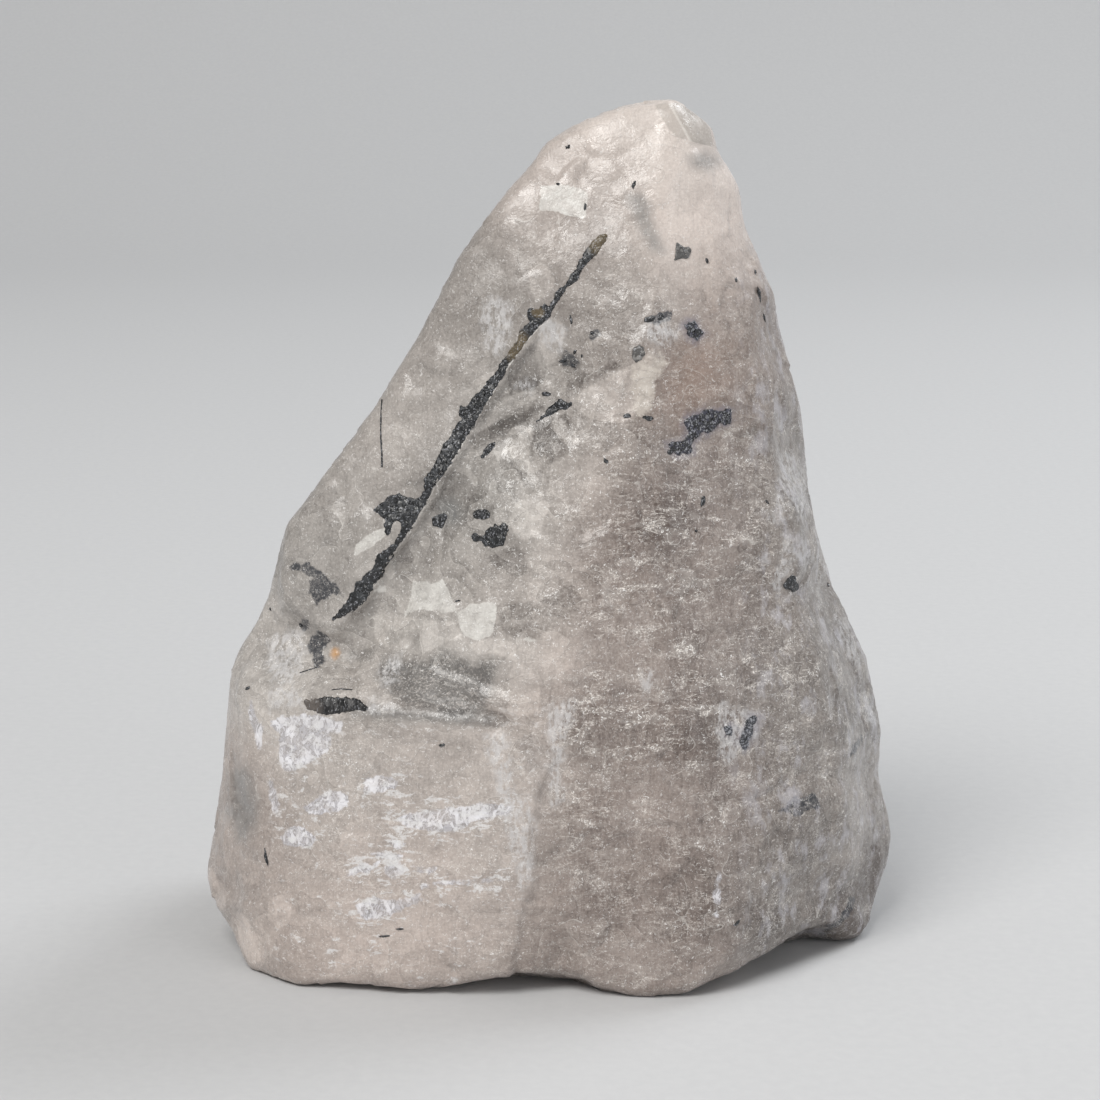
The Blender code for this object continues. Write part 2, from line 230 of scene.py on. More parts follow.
DARK_PLANES = [
    [(533, 337), (495, 381), (474, 420), (480, 429), (503, 400), (543, 384)],
    [(466, 437), (533, 405), (546, 406), (530, 420), (503, 431), (475, 450), (468, 446)],
    [(563, 368), (592, 372), (616, 360), (621, 366), (567, 394)],
    [(533, 425), (566, 412), (573, 425), (575, 445), (565, 458), (552, 462), (540, 458), (530, 440)],
    [(505, 548), (515, 545), (527, 552), (528, 570), (520, 580), (483, 560)],
    [(540, 600), (600, 560), (605, 580), (600, 600), (560, 620), (540, 640), (515, 640), (500, 630),
     (500, 612), (510, 604)],
    # painted shade along the ledge's edge
    [(394, 703), (500, 710), (515, 720), (500, 730), (420, 722), (394, 716)],
    [(390, 556), (405, 545), (420, 572), (408, 580), (395, 578)],
]
BURIED_CRYSTALS = [
    [(556, 360), (562, 358), (568, 350), (580, 362), (572, 368), (564, 366)],
    [(588, 340), (592, 331), (598, 328), (600, 334), (596, 341)],
    [(289, 564), (307, 563), (336, 584), (344, 597), (328, 592), (312, 576), (291, 568)],
    [(309, 581), (325, 581), (331, 597), (315, 605), (309, 595)],
    [(301, 619), (307, 619), (309, 629), (303, 631)],
    [(317, 631), (324, 632), (331, 640), (323, 651), (323, 664), (315, 668), (308, 643)],
    [(645, 322), (658, 313), (670, 311), (672, 318), (655, 325)],
    [(778, 812), (790, 800), (815, 794), (822, 806), (800, 816)],
    [(850, 758), (851, 748), (862, 735), (864, 740)],
    [(851, 897), (855, 898), (853, 911), (843, 923), (828, 932), (812, 937), (841, 916)],
]
# Smoky grey in the quartz; the first place, on the ledge, is partly painted shade along its edge.
SMOKE_AND_SHADE_PLACES = [
    [(375, 665), (385, 655), (425, 660), (440, 648), (472, 662), (492, 656), (505, 660), (488, 716),
     (470, 722), (402, 712), (372, 680)],
    [(556, 352), (580, 354), (582, 364), (576, 371), (564, 368)],
    [(586, 342), (588, 330), (598, 328), (598, 346)],
    [(347, 652), (375, 646), (374, 656), (362, 660), (348, 662)],
    [(405, 484), (424, 478), (422, 486)],
]
SHADOWS = [
    [(352, 708), (490, 716), (492, 724), (410, 721), (352, 714)],
    [(232, 775), (245, 770), (256, 800), (254, 830), (240, 840), (230, 810)],
    [(628, 196), (640, 196), (646, 205), (662, 250), (652, 248), (643, 235)],
    [(440, 506), (452, 500), (462, 508), (458, 520), (446, 524)],
    [(690, 158), (705, 154), (720, 160), (712, 168), (695, 166)],
]
WHITE_VEILS = [
    [(640, 325), (660, 318), (678, 325), (682, 338), (660, 345), (645, 340)],
    [(378, 668), (388, 656), (402, 655), (405, 668), (388, 690), (380, 684)],
    [(267, 640), (285, 630), (303, 632), (306, 655), (300, 680), (280, 688), (268, 672)],
    [(368, 700), (390, 703), (395, 712), (370, 712)],
    [(514, 386), (522, 378), (532, 380), (534, 390), (524, 393)],
    [(268, 690), (280, 685), (300, 692), (302, 706), (270, 710)],
    [(835, 610), (850, 620), (862, 668), (848, 660), (838, 640)],
    [(776, 450), (795, 455), (806, 480), (810, 510), (800, 520), (778, 480)],
    [(862, 690), (874, 700), (878, 722), (868, 724), (860, 708)],
    [(790, 535), (808, 545), (816, 565), (806, 570), (794, 560)],
    [(540, 322), (560, 318), (566, 335), (560, 352), (548, 350), (540, 338)],
    [(777, 494), (785, 497), (786, 512), (780, 523), (771, 524)],
    [(786, 530), (797, 538), (796, 556), (782, 590), (774, 596), (773, 578)],
    [(765, 552), (770, 562), (756, 574)],
    [(715, 708), (726, 702), (757, 716), (756, 736), (730, 764), (720, 758)],
    [(640, 672), (654, 668), (662, 680), (645, 700)],
    [(484, 300), (500, 296), (514, 310), (512, 335), (500, 358), (486, 350), (480, 325)],
    [(484, 735), (505, 736), (514, 760), (510, 790), (530, 800), (536, 830), (532, 880), (522, 900)],
    [(545, 712), (560, 696), (578, 698), (562, 770), (566, 800), (552, 810)],
]
FOIL_PLACES = [
    [(280, 745), (277, 738), (290, 728), (305, 735), (310, 727), (333, 737), (330, 748), (322, 757),
     (293, 772), (284, 772), (280, 762)],
    [(268, 722), (285, 715), (310, 714), (342, 722), (340, 732), (300, 735), (280, 735)],
    [(320, 795), (335, 790), (348, 796), (350, 803), (340, 812), (310, 815), (303, 808)],
    [(395, 815), (485, 803), (512, 806), (512, 814), (470, 822), (462, 830), (445, 833), (405, 828)],
    [(280, 836), (292, 826), (306, 828), (318, 838), (312, 846), (296, 848), (284, 846)],
    [(356, 905), (372, 896), (395, 900), (420, 893), (424, 900), (385, 918), (365, 920), (356, 914)],
    [(417, 887), (440, 881), (504, 878), (504, 882)],
    [(345, 877), (350, 868), (365, 862), (378, 864), (372, 872)],
    [(385, 865), (420, 868), (437, 865), (437, 873), (405, 872), (392, 880), (386, 876)],
    [(370, 853), (385, 852), (402, 856), (405, 860), (375, 859)],
    [(388, 842), (395, 838), (404, 844), (400, 848), (390, 846)],
    [(250, 700), (262, 728), (262, 752), (257, 748), (248, 712)],
    [(268, 776), (273, 780), (280, 800), (276, 815), (268, 800)],
    [(365, 778), (380, 775), (400, 780), (395, 790), (362, 795)],
    [(713, 915), (714, 890), (719, 872), (722, 875), (717, 920)],
]
CREAM_STREAK = [[(634, 366), (646, 356), (662, 352), (664, 364), (655, 382), (645, 416), (634, 420)]]
IRON_STAIN = [[(668, 360), (700, 340), (722, 352), (722, 385), (708, 402), (680, 420), (664, 400)]]
SHADED_CAP_CHIP = [[(669, 104), (690, 141), (713, 147), (710, 124), (701, 112), (676, 102)]]
CAP_SHADOW_LINE = [[(654, 104), (669, 102), (690, 141), (676, 137), (666, 126)]]
IRON_SPOT = [[(332, 648), (338, 648), (340, 655), (335, 660), (331, 655)]]


# The depth of points that lie outside a place or on the back, and a distance beyond all others.
OUTSIDE, FAR = -9.0, 1e9


def in_picture(points):
    """Where points, in millimetres, are seen in the picture, in its pixels."""
    away = points - EYE
    scale = FOCAL / (away @ AHEAD)
    return np.stack((PICTURE / 2 + away[:, 0] * scale, PICTURE / 2 - (away @ UPWARD) * scale), axis=1)


def sight(column, row):
    """The direction in which the camera sees a pixel."""
    direction = AHEAD * FOCAL + UPWARD * (PICTURE / 2 - row)
    direction[0] += column - PICTURE / 2
    return Vector(direction).normalized()


def segments(line, closed):
    return list(zip(line, line[1:] + line[:1] if closed else line[1:]))


def to_edge(seen, start, end):
    """How points lie to an edge: its run, their ways from its start, shares along it, and distances."""
    edge = np.subtract(end, start)
    ways = seen - start
    shares = ways @ edge / (edge @ edge)
    distances = PIXEL * np.hypot(*(ways - np.clip(shares, 0, 1)[:, None] * edge).T)
    return edge, ways, shares, distances


def depth_inside(seen, outlines):
    """How deep points lie inside the nearest outline, in millimetres: below nothing outside them all."""
    deepest = np.full(len(seen), OUTSIDE)
    for outline in outlines:
        nearest = np.full(len(seen), FAR)
        inside = np.zeros(len(seen), bool)
        for start, end in segments(outline, True):
            edge, ways, _, distances = to_edge(seen, start, end)
            nearest = np.minimum(nearest, distances)
            crosses = (start[1] > seen[:, 1]) != (end[1] > seen[:, 1])
            inside ^= crosses & (seen[:, 0] < start[0] + ways[:, 1] * edge[0] / (edge[1] or 1 / FAR))
        deepest = np.maximum(deepest, np.where(inside, nearest, -nearest))
    return deepest


def right_of(seen, line):
    """How far points lie right of a line that runs down the stone, and along it, in millimetres."""
    nearest = np.full(len(seen), FAR)
    side, along = np.zeros((2, len(seen)))
    run = 0.0
    for start, end in segments(line, False):
        edge, ways, shares, distances = to_edge(seen, start, end)
        length = math.hypot(*edge) * PIXEL
        closer = distances < nearest
        nearest = np.where(closer, distances, nearest)
        side = np.where(closer, np.sign(edge[1] * ways[:, 0] - edge[0] * ways[:, 1]), side)
        along = np.where(closer, run + shares * length, along)
        run += length
    return nearest * side, along, run


def smooth(value, low, high):
    share = np.clip((value - low) / (high - low), 0, 1)
    return share * share * (3 - 2 * share)


def points_of(obj):
    points = np.empty(len(obj.data.vertices) * 3, np.float32)
    obj.data.vertices.foreach_get("co", points)
    return points.reshape(-1, 3).astype(float)


def normals_of(obj):
    return np.array([vertex.normal for vertex in obj.data.vertices], float)


def put_points(obj, points):
    obj.data.vertices.foreach_set("co", points.astype(np.float32).ravel())
    obj.data.update()


def note(obj, name, values):
    """Keeps a value for each point of the mesh, for the material to read."""
    attribute = obj.data.attributes.new(name, "FLOAT", "POINT")
    attribute.data.foreach_set("value", np.asarray(values, np.float32))


def flat_break(point, size, slope):
    """The height of small flat breaks: each cell of a random pattern is a facet with its own tilt."""
    at = point / size
    centre = noise.voronoi(at)[1][0]
    tilt = noise.cell_vector(centre * 7.3) * 2 - Vector((1, 1, 1))
    return (at - centre).dot(tilt) * size * slope


def press_flat(points, normals, chosen, lift):
    """Presses the chosen points to their own best plane, a little proud of the rest."""
    if chosen.sum() < 4:
        return
    middle = points[chosen].mean(axis=0)
    facing = np.linalg.svd(points[chosen] - middle)[2][2]
    if facing @ normals[chosen].mean(axis=0) < 0:
        facing = -facing
    above = (points[chosen] - middle) @ facing
    points[chosen] += np.outer(lift - above * 0.85, facing)


# The furthest that the outline is drawn, in millimetres, and the width of a band, in pixels.
FURTHEST_PULL = 1.9
BAND = 7
PULL_ROWS = np.arange(104, 972, BAND)
PULL_COLUMNS = np.arange(250, 868, BAND)


def bands(places, starts):
    """Which band of the picture, from one start to the next, each place is in, and the bands' middles."""
    return np.clip(np.searchsorted(starts, places), 0, len(starts) - 1), starts - BAND / 2


def eased(pull):
    """The pulls, each blended with the two beside it."""
    return np.convolve(np.pad(pull, 1, mode="edge"), (0.25, 0.5, 0.25), mode="valid")


def draw_outline(points):
    """Draws the stone's left and right outline to where the picture has them."""
    seen = in_picture(points)
    band, middles = bands(seen[:, 1], PULL_ROWS)
    left, right = np.array([
        (seen[band == index, 0].min(), seen[band == index, 0].max()) for index in range(len(PULL_ROWS))
    ]).T
    share = np.clip((seen[:, 0] - left[band]) / (right - left)[band], 0, 1)
    for found, edge, weight in ((left, LEFT_EDGE, (1 - share) ** 3), (right, RIGHT_EDGE, share ** 3)):
        columns, rows = zip(*edge)
        traced = np.interp(middles, rows, columns)
        pull = np.clip((traced - found) * PIXEL, -FURTHEST_PULL, FURTHEST_PULL)
        pull *= 1 - smooth(middles, rows[-1], rows[-1] + 25)
        points[:, 0] += weight * np.interp(seen[:, 1], middles, eased(pull))


def draw_lower_edge(points):
    """Draws the stone's lower edge to where the picture has it, its feet kept on the floor."""
    seen = in_picture(points)
    band, middles = bands(seen[:, 0], PULL_COLUMNS)
    lowest = np.array([seen[band == index, 1].max() for index in range(len(PULL_COLUMNS))])
    pull = eased((np.interp(middles, *zip(*LOWER_EDGE)) - lowest) * PIXEL)
    drop = smooth(seen[:, 1], lowest[band] - 30, lowest[band]) * np.interp(seen[:, 0], middles, pull)
    drop *= np.where(drop > 0, 1, smooth(-points[:, 1], 16.5, 19.5))
    points[:, 2] -= drop


# In millimetres, the heights of the skin's swells, streaks, crinkles and lifted plates, and the depths of
# the steps beside the needle and the block.
SWELL, STREAK, CRINKLE, PLATE_LIFT = 0.13, 0.10, 0.16, 0.05
NEEDLE_STEP, BLOCK_STEP = 0.60, 0.55


def noise_at(points, sizes, shift=(0, 0, 0)):
    """A random value at each point, that changes over these sizes."""
    return np.array([noise.noise(Vector(place) + Vector(shift)) for place in points / sizes])


def break_surface(obj, crystals):
    """Breaks the stone's skin: faint swells, flat breaks, and the steps beside the needle and the block."""
    points = points_of(obj) / MM
    normals = normals_of(obj)
    height = np.array([
        SWELL * noise.fractal(Vector(p) / 8.0, 0.8, 2.0, 2)
        + flat_break(Vector(p) + noise.noise_vector(Vector(p) / 2.0) * 0.5, 5.0, 0.05)
        + flat_break(Vector(p) + noise.noise_vector(Vector(p) / 1.2) * 0.3, 2.0, 0.03)
        for p in points
    ])
    away = np.array([crystals.find_nearest(Vector(p) * MM)[3] for p in points]) / MM
    height *= smooth(away, 0.4, 2.5)
    front = smooth(-normals[:, 1], 0.05, 0.35)
    seen = in_picture(points)
    up = points[:, 2]
    beside, along, whole = right_of(seen, NEEDLE_LINE)
    reach = smooth(along, 8.0, 13.0) * smooth(whole - along, -1.0, 3.0)
    height -= NEEDLE_STEP * front * reach * smooth(beside, 0.45, 1.0) * (1 - smooth(beside, 1.5, 9.0))
    beside = right_of(seen, RIDGE_LINE)[0]
    low_edge = (1 - smooth(up, 19, 25)) * front
    height -= BLOCK_STEP * low_edge * smooth(beside, -0.1, 0.5) * (1 - smooth(beside, 1.0, 8.0))
    streaks = noise_at(points, (5.0, 4.0, 0.8))
    height += STREAK * streaks * front * (1 - smooth(up, 24, 34)) * smooth(away, 0.4, 2.0)
    foil = smooth(depth_inside(seen, FOIL_PLACES), -0.3, 0.4)
    height += foil * front * CRINKLE * noise_at(points, (0.9, 1.0, 1.6), (9, 2, 5))
    points += normals * height[:, None]
    for facet in PALE_FACETS:
        press_flat(points, normals, (depth_inside(seen, [facet]) > -0.1) & (front > 0.5), PLATE_LIFT)
    draw_outline(points)
    draw_outline(points)
    draw_lower_edge(points)
    points[:, 2] = np.maximum(points[:, 2], 0)
    put_points(obj, points * MM)


def linear(tone):
    """A tone from 0 to 255, as a paint chart gives it, as the share of light that it sends back."""
    return ((tone / 255 + 0.055) / 1.055) ** 2.4


DARKEST, LIGHTEST = 90, 240
# Broad tones of the front, partly the stone's own colour and partly painted shade: the right face is darker
# partly as it turns from the light, and the lobe at the lower right is in painted shade.
TONES = [
    # across, height, reach (mm), tone, rosiness, share of white healed cracks, share of flat facets
    (10.0, 77.0, 7.0, 206, 0.7, 0.00, -0.10),
    (1.0, 72.0, 6.0, 176, 0.8, 0.20, 0.00),
    (14.0, 69.0, 6.0, 218, 0.9, 0.25, 0.00),
    (-7.0, 61.0, 7.0, 138, 0.5, 0.10, 0.05),
    (-15.0, 50.0, 7.0, 163, 0.5, 0.08, 0.00),
    (-22.0, 40.0, 6.0, 149, 0.4, 0.20, 0.40),
    (5.0, 62.0, 5.0, 142, 0.6, 0.35, 0.40),
    (-2.0, 52.0, 5.0, 160, 0.3, 0.40, 0.90),
    (-7.0, 44.0, 5.0, 138, 0.3, 0.35, 0.90),
    (-10.0, 34.0, 5.0, 168, 0.4, 0.30, 0.90),
    (2.0, 50.0, 5.0, 154, 0.7, 0.35, 0.70),
    (-4.0, 37.0, 5.0, 164, 0.6, 0.35, 0.80),
    (16.0, 56.0, 7.0, 132, 1.0, 0.40, 0.15),
    (11.0, 45.0, 7.0, 126, 1.0, 0.90, 0.20),
    (10.0, 32.0, 8.0, 120, 1.0, 1.15, 0.15),
    (9.0, 17.0, 8.0, 128, 1.0, 0.70, 0.15),
    (24.0, 46.0, 6.0, 134, 0.5, 0.80, 0.20),
    (24.0, 28.0, 7.0, 133, 0.6, 0.80, 0.25),
    (25.0, 12.0, 6.0, 138, 0.6, 0.60, 0.25),
    # the lobe at the lower right, in painted shade
    (30.0, 5.0, 4.0, 76, 0.8, 0.40, 0.25),
    (-24.0, 29.0, 5.0, 172, 0.4, 0.40, 0.70),
    (-20.0, 21.0, 6.0, 178, 0.6, 0.50, 0.50),
    (-8.0, 20.0, 6.0, 176, 0.7, 0.40, 0.35),
    (-14.0, 11.0, 7.0, 180, 0.9, 0.50, 0.35),
    (-29.0, 14.0, 5.0, 160, 0.9, 0.15, 0.25),
    (-16.0, 3.0, 6.0, 172, 1.0, 0.35, 0.25),
    (6.0, 4.0, 6.0, 150, 1.0, 0.50, 0.20),
]
BACK_TONE = (156, 0.7, 0.55, 0.50)
# A face that looks further back than this belongs to the back, which the picture's places don't reach.
BACK_FACES = 0.1
# Lighter and darker patches, partly the stone's own tone and partly painted shade: the dark ones under the
# right foot and at the right edge are painted shade.
TONE_AND_SHADE_PATCHES = [
    # pixel, reach in pixels, how much lighter or darker
    ((520, 432), 34, -32), ((565, 420), 30, -22), ((525, 497), 18, 34), ((590, 485), 26, 32),
    ((664, 524), 32, -42), ((712, 560), 26, 32), ((556, 666), 36, 50), ((586, 592), 22, 34),
    ((636, 658), 40, 36), ((505, 580), 24, 14), ((495, 700), 20, -26), ((380, 725), 26, -20),
    ((255, 715), 24, 20), ((278, 655), 24, -26), ((352, 648), 20, -22), ((458, 655), 22, 24),
    ((705, 735), 32, -28), ((785, 830), 38, -20), ((645, 810), 44, 24), ((700, 918), 42, -30),
    ((605, 915), 28, -24), ((540, 850), 40, 10), ((430, 940), 40, 14), ((250, 935), 24, 18),
    ((455, 345), 40, 12), ((392, 437), 24, 12), ((430, 470), 30, -16), ((600, 225), 40, -24),
    ((725, 265), 34, -22), ((590, 135), 20, 14), ((530, 348), 18, 28), ((500, 382), 16, 26),
    ((310, 545), 26, 16), ((376, 578), 24, 24), ((340, 618), 18, 22), ((852, 858), 22, 26),
    ((640, 585), 38, 16), ((532, 530), 20, 18), ((545, 560), 24, 14), ((380, 685), 18, -14),
    ((285, 738), 24, 14), ((565, 770), 26, 18), ((500, 775), 24, 12), ((537, 805), 18, 16),
    ((540, 900), 30, 14), ((355, 955), 26, 12), ((768, 928), 26, -44), ((866, 712), 28, -36),
    ((848, 640), 22, -16), ((490, 480), 24, 14), ((740, 610), 30, 12), ((755, 355), 28, 10),
    ((640, 165), 30, -10), ((415, 640), 18, -12),
]


def note_places(obj):
    """Notes on each point its broad tone, and how it lies to the stone's lines and coloured places."""
    points = points_of(obj) / MM
    facing = normals_of(obj)[:, 1]
    seen = in_picture(points)
    front = (1 - smooth(facing, -0.1, 0.45)) * (1 - smooth(points[:, 1], 4.0, 16.0))
    total = np.full(len(points), 0.02) + 0.5 * (1 - front)
    sums = np.outer(total, BACK_TONE)
    for across, up, reach, *values in TONES:
        weight = front * np.exp(-((points[:, (0, 2)] - (across, up)) ** 2).sum(axis=1) / reach ** 2)
        total += weight
        sums += np.outer(weight, values)
    tone, rosiness, cracks, facets = (sums / total[:, None]).T
    for pixel, reach, change in TONE_AND_SHADE_PATCHES:
        tone = tone + change * front * np.exp(-((seen - pixel) ** 2).sum(axis=1) / reach ** 2)
    back = facing > BACK_FACES
    beside, along, whole = right_of(seen, NEEDLE_LINE)
    values = {
        "lightness": (linear(tone) - linear(DARKEST)) / (linear(LIGHTEST) - linear(DARKEST)),
        "rosiness": rosiness, "cracks": cracks, "facets": facets, "front": front,
        "right_of_needle": np.where(back | (along < 9) | (along > whole), OUTSIDE, beside),
        "needle_edge": np.where(back, OUTSIDE, depth_inside(seen, [NEEDLE_OUTLINE])),
        "right_of_ridge": right_of(seen, RIDGE_LINE)[0],
    }
    places = {
        "pale_facets": PALE_FACETS, "buried_crystals": BURIED_CRYSTALS, "smoke_and_shade_places": SMOKE_AND_SHADE_PLACES,
        "light_planes": LIGHT_PLANES, "dark_planes": DARK_PLANES, "shadows": SHADOWS,
        "white_veils": WHITE_VEILS, "foil_places": FOIL_PLACES, "cream_streak": CREAM_STREAK,
        "iron_stain": IRON_STAIN, "iron_spot": IRON_SPOT, "shaded_cap_chip": SHADED_CAP_CHIP, "cap_shadow_line": CAP_SHADOW_LINE,
    }
    for name, outlines in places.items():
        depth = depth_inside(seen, outlines) - 1.5 * smooth(facing, -0.25, BACK_FACES)
        values[name] = np.where(back, OUTSIDE, depth)
    for name, value in values.items():
        note(obj, name, value)


crystal_nodes = [name for name in sorted(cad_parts) if name != "quartz_stone"]
stone = copy_of("quartz_stone", "stone")
crystal_faces = surface_of(*(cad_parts[name] for name in crystal_nodes))
close_pockets(stone, crystal_faces)
remesh(stone, STONE_STEP, FACET_SOFTENING)
break_surface(stone, crystal_faces)
note_places(stone)


def paint(red, green, blue):
    """A colour as a paint chart gives it, 0 to 255, as the shader wants it."""
    return (*(linear(part) for part in (red, green, blue)), 1.0)


tree = None


def work_on(other_tree):
    """The functions below add their nodes to this tree, until another is worked on."""
    global tree
    tree = other_tree


def fill(made, inputs):
    """Gives a node its inputs, each a value or another node's output."""
    for key, value in inputs.items():
        if isinstance(value, bpy.types.NodeSocket):
            tree.links.new(value, made.inputs[key])
        else:
            made.inputs[key].default_value = value


def node(kind, inputs=None, **settings):
    made = tree.nodes.new("ShaderNode" + kind)
    for name, value in settings.items():
        setattr(made, name, value)
    fill(made, inputs or {})
    return made


def calc(operation, *values):
    return node("Math", dict(enumerate(values)), operation=operation).outputs[0]


def times(*values):
    product = values[0]
    for value in values[1:]:
        product = calc("MULTIPLY", product, value)
    return product


def plus(value, other, share):
    """value + other x share"""
    return calc("MULTIPLY_ADD", other, share, value)


def centred(value):
    """A random value from 0 to 1, moved to lie around 0."""
    return calc("SUBTRACT", value, 0.5)


def clamp(value):
    return node("Clamp", {"Value": value}).outputs[0]


def rise(value, low, high):
    """0 below low, 1 above high, smooth between them."""
    ranges = {"Value": value, "From Min": low, "From Max": high}
    return node("MapRange", ranges, interpolation_type="SMOOTHSTEP").outputs[0]


def thin(value, width):
    """1 where the value is 0, down to 0 where it reaches the width."""
    return clamp(calc("SUBTRACT", 1.0, calc("DIVIDE", value, width)))


def vector(operation, first, second=None, output=0):
    inputs = {0: first}
    if second is not None:
        inputs["Scale" if operation == "SCALE" else 1] = second
    return node("VectorMath", inputs, operation=operation).outputs[output]


def stretched(point, x, y, z):
    return vector("MULTIPLY", point, (1 / x, 1 / y, 1 / z))


def clouds(point, scale, detail, roughness=0.5, distortion=0.0):
    """Random values from 0 to 1 all over: one, and three more as a colour."""
    inputs = {"Vector": point, "Scale": scale, "Detail": detail, "Roughness": roughness}
    return node("TexNoise", inputs | {"Distortion": distortion}).outputs


def cloud(point, size, *kind):
    """A random value from 0 to 1 that changes over that many millimetres, of the kind that clouds takes."""
    return clouds(point, 1 / size, *kind)[0]


def tint(under, over, share):
    """The colour under, with that share of the other over it. Either may be a paint chart's colour."""
    under, over = (paint(*colour) if isinstance(colour, tuple) else colour for colour in (under, over))
    return node("Mix", {0: share, 6: under, 7: over}, data_type="RGBA").outputs[2]


def bump(height):
    return node("Bump", {"Strength": 0.8, "Distance": MM, "Height": height}).outputs[0]


def new_material(name):
    """A material, its main shader, and the place on the piece, in millimetres."""
    material = bpy.data.materials.new(name)
    material.use_nodes = True
    work_on(material.node_tree)
    point = vector("SCALE", node("TexCoord").outputs["Object"], 1 / MM)
    return material, tree.nodes["Principled BSDF"], point


def new_effect(name, values, outputs):
    """An empty effect that takes a point and these values, and gives these outputs."""
    group = bpy.data.node_groups.new(name, "ShaderNodeTree")
    work_on(group)
    group.interface.new_socket("Point", in_out="INPUT", socket_type="NodeSocketVector")
    for label, value in values.items():
        made = group.interface.new_socket(label, in_out="INPUT", socket_type="NodeSocketFloat")
        made.default_value = value
    for label in outputs:
        group.interface.new_socket(label, in_out="OUTPUT", socket_type="NodeSocketFloat")
    return group, group.nodes.new("NodeGroupInput").outputs, group.nodes.new("NodeGroupOutput")


MIDDLE = (0.5, 0.5, 0.5)


def make_chips():
    """Small flat breaks with sharp edges, each tilted its own way."""
    group, given, out = new_effect("flat chips", {"Size": 1.0, "Warp": 0.4}, ["Height", "Shade", "Edge"])
    scale = calc("DIVIDE", 1.0, given["Size"])
    wobble = vector("SUBTRACT", clouds(given["Point"], scale, 2.0)[1], MIDDLE)
    wobble = vector("SCALE", wobble, times(given["Size"], given["Warp"]))
    place = vector("ADD", given["Point"], wobble)
    cells = node("TexVoronoi", {"Vector": place, "Scale": scale}).outputs
    edges = node("TexVoronoi", {"Vector": place, "Scale": scale}, feature="DISTANCE_TO_EDGE").outputs
    offset = vector("SUBTRACT", place, cells["Position"])
    lean = vector("SUBTRACT", cells["Color"], MIDDLE)
    fill(out, {
        "Height": vector("DOT_PRODUCT", offset, lean, output=1),
        "Shade": node("SeparateColor", {0: cells["Color"]}).outputs[1],
        "Edge": rise(edges["Distance"], 0.05, 0.0),
    })
    return group


def make_threads():
    """Thin wandering white lines, the healed cracks of the quartz, that come and go."""
    group, given, out = new_effect("healed cracks", {"Size": 1.0, "Width": 0.02, "Cover": 0.5}, ["Mask"])
    wander = clouds(given["Point"], calc("DIVIDE", 1.0, given["Size"]), 7.0, 0.74)[0]
    line = thin(calc("ABSOLUTE", centred(wander)), given["Width"])
    broken = clouds(given["Point"], calc("DIVIDE", 1.7, given["Size"]), 2.0)[1]
    broken = node("SeparateColor", {0: broken}).outputs[1]
    limit = calc("SUBTRACT", 0.75, times(given["Cover"], 0.5))
    shown = clamp(times(calc("SUBTRACT", broken, limit), 12.0))
    fill(out, {"Mask": times(line, shown)})
    return group


def make_sheets():
    """Overlapping shell-shaped breaks: each fades away from a sharp wandering edge."""
    values = {"Size": 5.0, "Steps": 6.0, "Width": 0.06}
    group, given, out = new_effect("shell breaks", values, ["Shade", "Edge"])
    swell = clouds(given["Point"], calc("DIVIDE", 1.0, given["Size"]), 2.0, 0.45)[0]
    shade = calc("FRACT", times(swell, given["Steps"]))
    fill(out, {"Shade": shade, "Edge": thin(shade, given["Width"])})
    return group


chips_effect, threads_effect, sheets_effect = make_chips(), make_threads(), make_sheets()


def effect(group, **inputs):
    return node("Group", inputs, node_tree=group).outputs


def noted(name):
    """A value that was noted on the points of the mesh."""
    return node("Attribute", attribute_name=name, attribute_type="GEOMETRY").outputs["Fac"]


